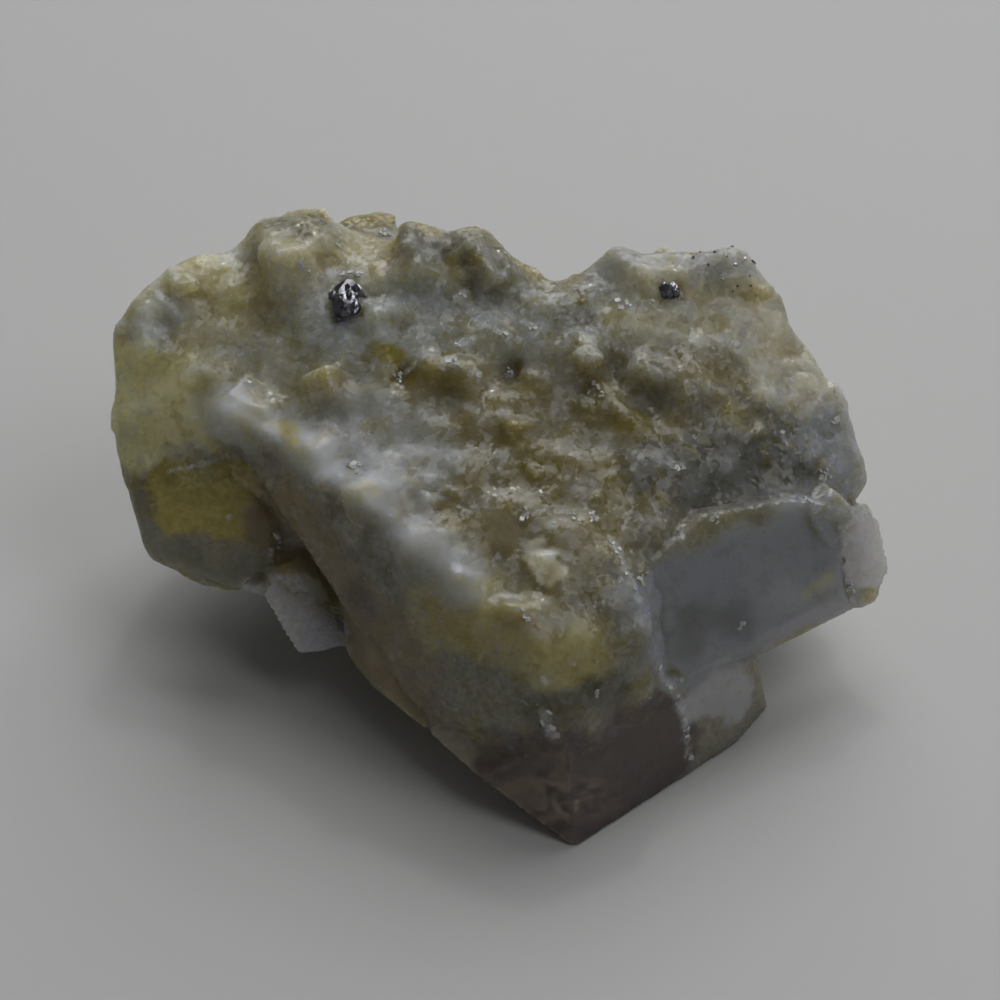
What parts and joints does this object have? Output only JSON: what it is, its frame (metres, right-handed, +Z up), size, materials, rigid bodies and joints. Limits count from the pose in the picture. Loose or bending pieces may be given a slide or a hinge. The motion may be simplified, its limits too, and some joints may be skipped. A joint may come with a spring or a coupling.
{
  "type": "fluorite specimen with galena",
  "caption": "Broken hand specimen of yellow, grey and violet fluorite with clear cleavage corners, dotted with small metallic galena crystals; lies on its flat cleavage base.",
  "frame": {"origin": "centre of the bounding box's bottom face, on the surface that the specimen lies on", "axes": "+X to the right along the longest side, towards the clear flake; +Y away from the viewer; +Z up"},
  "size_m": [0.0546, 0.0422, 0.0264],
  "materials": {
    "fluorite": "yellow, grey and violet-grey crystal: rough and whitish on the broken upper side, smooth and glassy on the cleavage faces",
    "galena": "lead-grey metallic, bright on its fresh faces and dark in its recesses"
  },
  "bodies": {
    "root": {"fluorite": "fluorite", "galena_crystal_large": "galena", "galena_crystal_small": "galena"}
  },
  "joints": []
}
